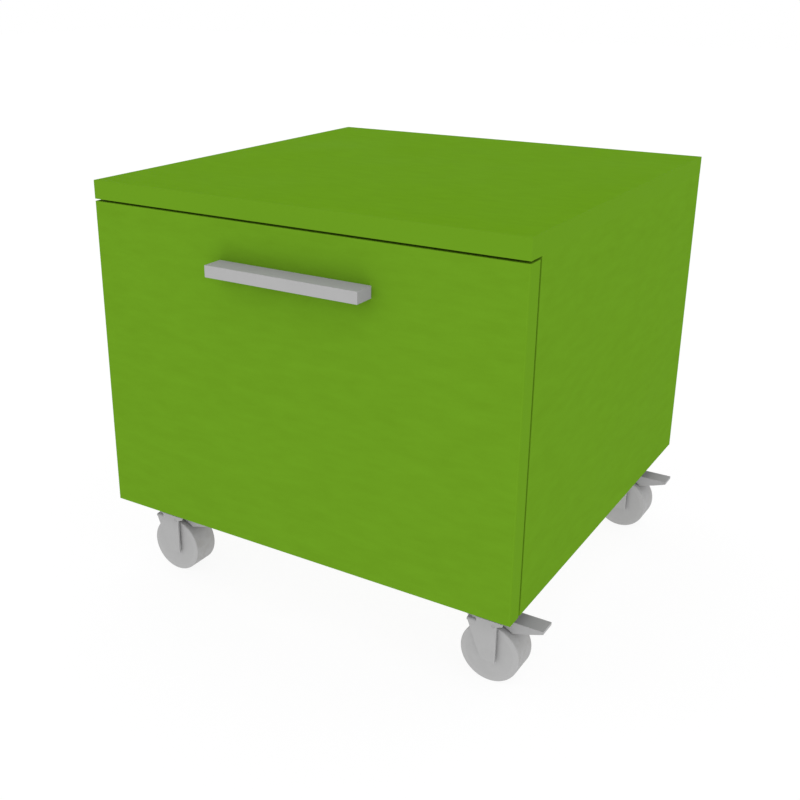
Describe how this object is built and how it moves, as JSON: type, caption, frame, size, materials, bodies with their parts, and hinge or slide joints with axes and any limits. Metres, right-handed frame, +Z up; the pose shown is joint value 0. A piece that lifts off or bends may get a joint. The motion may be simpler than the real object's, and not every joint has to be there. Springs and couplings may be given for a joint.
{
  "type": "mobile bedside cabinet",
  "caption": "Low cube bedside cabinet on four braked swivel casters, with one deep full-front drawer on ball slides and a short bar pull.",
  "frame": {"origin": "on the floor, under the middle of the carcass plan (the drawer front face is at y = -0.2 m and the back at y = +0.2 m)", "axes": "+Z up, the drawer opens towards -Y, +X to the right seen from the front"},
  "size_m": [0.4163, 0.4194, 0.372],
  "materials": {
    "green_laminate": "melamine-faced particleboard, smooth matt apple green",
    "green_edging": "glued plastic edge band, colour matched to the boards",
    "white_laminate": "melamine-faced particleboard, matt white",
    "hardboard": "thin painted hardboard",
    "beech": "fluted beech dowel",
    "cast_zinc": "bare zinc casting",
    "zinc_steel": "bright zinc plated steel strip",
    "screw_steel": "bright zinc plated screw",
    "ball_steel": "polished steel ball",
    "cage_plastic": "moulded ball cage",
    "satin_grey_metal": "satin silver grey cast handle",
    "grey_enamel": "light grey powder coated pressed steel",
    "grey_nylon": "moulded light grey plastic",
    "grey_tread": "soft light grey non-marking tread",
    "rubber_dot": "soft clear grey buffer"
  },
  "bodies": {
    "cabinet": {"top_panel": "green_laminate", "top_edging": "green_edging", "left_side_panel": "green_laminate", "right_side_panel": "green_laminate", "carcass_edging": "green_edging", "bottom_panel": "white_laminate", "back_panel": "green_laminate", "carcass_dowels": "beech", "cam_housings": "cast_zinc", "cam_bolts": "screw_steel", "caster_plates": "zinc_steel", "caster_kingpins": "zinc_steel", "caster_swivel_balls": "ball_steel", "caster_screws": "screw_steel", "left_slide_cabinet_member": "zinc_steel", "right_slide_cabinet_member": "zinc_steel", "slide_cabinet_screws": "screw_steel"},
    "drawer": {"drawer_front": "green_laminate", "drawer_front_edging": "green_edging", "drawer_left_side": "white_laminate", "drawer_right_side": "white_laminate", "drawer_inner_front": "white_laminate", "drawer_back": "white_laminate", "drawer_bottom": "hardboard", "drawer_front_screws": "screw_steel", "drawer_box_screws": "screw_steel", "drawer_bumpers": "rubber_dot", "handle": "satin_grey_metal", "handle_screws": "screw_steel", "left_slide_drawer_member": "zinc_steel", "right_slide_drawer_member": "zinc_steel", "slide_drawer_screws": "screw_steel"},
    "left_middle_member": {"left_slide_middle_member": "zinc_steel"},
    "right_middle_member": {"right_slide_middle_member": "zinc_steel"},
    "outer_cages": {"outer_ball_cages": "cage_plastic", "outer_slide_balls": "ball_steel"},
    "inner_cages": {"inner_ball_cages": "cage_plastic", "inner_slide_balls": "ball_steel"},
    "front_left_swivel": {"front_left_caster_fork": "grey_enamel", "front_left_caster_axle": "zinc_steel"},
    "front_left_wheel_body": {"front_left_caster_wheel": "grey_nylon", "front_left_caster_tyre": "grey_tread"},
    "front_left_pedal_body": {"front_left_caster_brake_pedal": "grey_nylon"},
    "front_right_swivel": {"front_right_caster_fork": "grey_enamel", "front_right_caster_axle": "zinc_steel"},
    "front_right_wheel_body": {"front_right_caster_wheel": "grey_nylon", "front_right_caster_tyre": "grey_tread"},
    "front_right_pedal_body": {"front_right_caster_brake_pedal": "grey_nylon"},
    "rear_left_swivel": {"rear_left_caster_fork": "grey_enamel", "rear_left_caster_axle": "zinc_steel"},
    "rear_left_wheel_body": {"rear_left_caster_wheel": "grey_nylon", "rear_left_caster_tyre": "grey_tread"},
    "rear_left_pedal_body": {"rear_left_caster_brake_pedal": "grey_nylon"},
    "rear_right_swivel": {"rear_right_caster_fork": "grey_enamel", "rear_right_caster_axle": "zinc_steel"},
    "rear_right_wheel_body": {"rear_right_caster_wheel": "grey_nylon", "rear_right_caster_tyre": "grey_tread"},
    "rear_right_pedal_body": {"rear_right_caster_brake_pedal": "grey_nylon"}
  },
  "joints": [
    {"name": "drawer_slide", "type": "slide", "parent": "cabinet", "child": "drawer", "axis": [0, -1, 0], "range_m": [0, 0.345]},
    {"name": "left_middle_slide", "type": "slide", "parent": "cabinet", "child": "left_middle_member", "axis": [0, -1, 0], "range_m": [0, 0.1725]},
    {"name": "right_middle_slide", "type": "slide", "parent": "cabinet", "child": "right_middle_member", "axis": [0, -1, 0], "range_m": [0, 0.1725]},
    {"name": "outer_cage_travel", "type": "slide", "parent": "cabinet", "child": "outer_cages", "axis": [0, -1, 0], "range_m": [0, 0.08625]},
    {"name": "inner_cage_travel", "type": "slide", "parent": "cabinet", "child": "inner_cages", "axis": [0, -1, 0], "range_m": [0, 0.25875]},
    {"name": "front_left_swivel", "type": "hinge", "parent": "cabinet", "child": "front_left_swivel", "pos_m": [-0.1638, -0.1637, 0.06], "axis": [0, 0, 1], "continuous": true},
    {"name": "front_left_wheel_spin", "type": "hinge", "parent": "front_left_swivel", "child": "front_left_wheel_body", "pos_m": [-0.1538, -0.1637, 0.02565], "axis": [0, 1, 0], "continuous": true},
    {"name": "front_left_brake_press", "type": "hinge", "parent": "front_left_swivel", "child": "front_left_pedal_body", "pos_m": [-0.1498, -0.1637, 0.0542], "axis": [0, 1, 0], "range_deg": [0, 5.5]},
    {"name": "front_right_swivel", "type": "hinge", "parent": "cabinet", "child": "front_right_swivel", "pos_m": [0.1638, -0.1637, 0.06], "axis": [0, 0, 1], "continuous": true},
    {"name": "front_right_wheel_spin", "type": "hinge", "parent": "front_right_swivel", "child": "front_right_wheel_body", "pos_m": [0.1738, -0.1637, 0.02565], "axis": [0, 1, 0], "continuous": true},
    {"name": "front_right_brake_press", "type": "hinge", "parent": "front_right_swivel", "child": "front_right_pedal_body", "pos_m": [0.1778, -0.1637, 0.0542], "axis": [0, 1, 0], "range_deg": [0, 5.5]},
    {"name": "rear_left_swivel", "type": "hinge", "parent": "cabinet", "child": "rear_left_swivel", "pos_m": [-0.1638, 0.1463, 0.06], "axis": [0, 0, 1], "continuous": true},
    {"name": "rear_left_wheel_spin", "type": "hinge", "parent": "rear_left_swivel", "child": "rear_left_wheel_body", "pos_m": [-0.1538, 0.1463, 0.02565], "axis": [0, 1, 0], "continuous": true},
    {"name": "rear_left_brake_press", "type": "hinge", "parent": "rear_left_swivel", "child": "rear_left_pedal_body", "pos_m": [-0.1498, 0.1463, 0.0542], "axis": [0, 1, 0], "range_deg": [0, 5.5]},
    {"name": "rear_right_swivel", "type": "hinge", "parent": "cabinet", "child": "rear_right_swivel", "pos_m": [0.1638, 0.1463, 0.06], "axis": [0, 0, 1], "continuous": true},
    {"name": "rear_right_wheel_spin", "type": "hinge", "parent": "rear_right_swivel", "child": "rear_right_wheel_body", "pos_m": [0.1738, 0.1463, 0.02565], "axis": [0, 1, 0], "continuous": true},
    {"name": "rear_right_brake_press", "type": "hinge", "parent": "rear_right_swivel", "child": "rear_right_pedal_body", "pos_m": [0.1778, 0.1463, 0.0542], "axis": [0, 1, 0], "range_deg": [0, 5.5]}
  ],
  "couplings": [
    {"joint": "left_middle_slide", "follows": "drawer_slide", "ratio": 0.5},
    {"joint": "right_middle_slide", "follows": "drawer_slide", "ratio": 0.5},
    {"joint": "outer_cage_travel", "follows": "drawer_slide", "ratio": 0.25},
    {"joint": "inner_cage_travel", "follows": "drawer_slide", "ratio": 0.75}
  ]
}
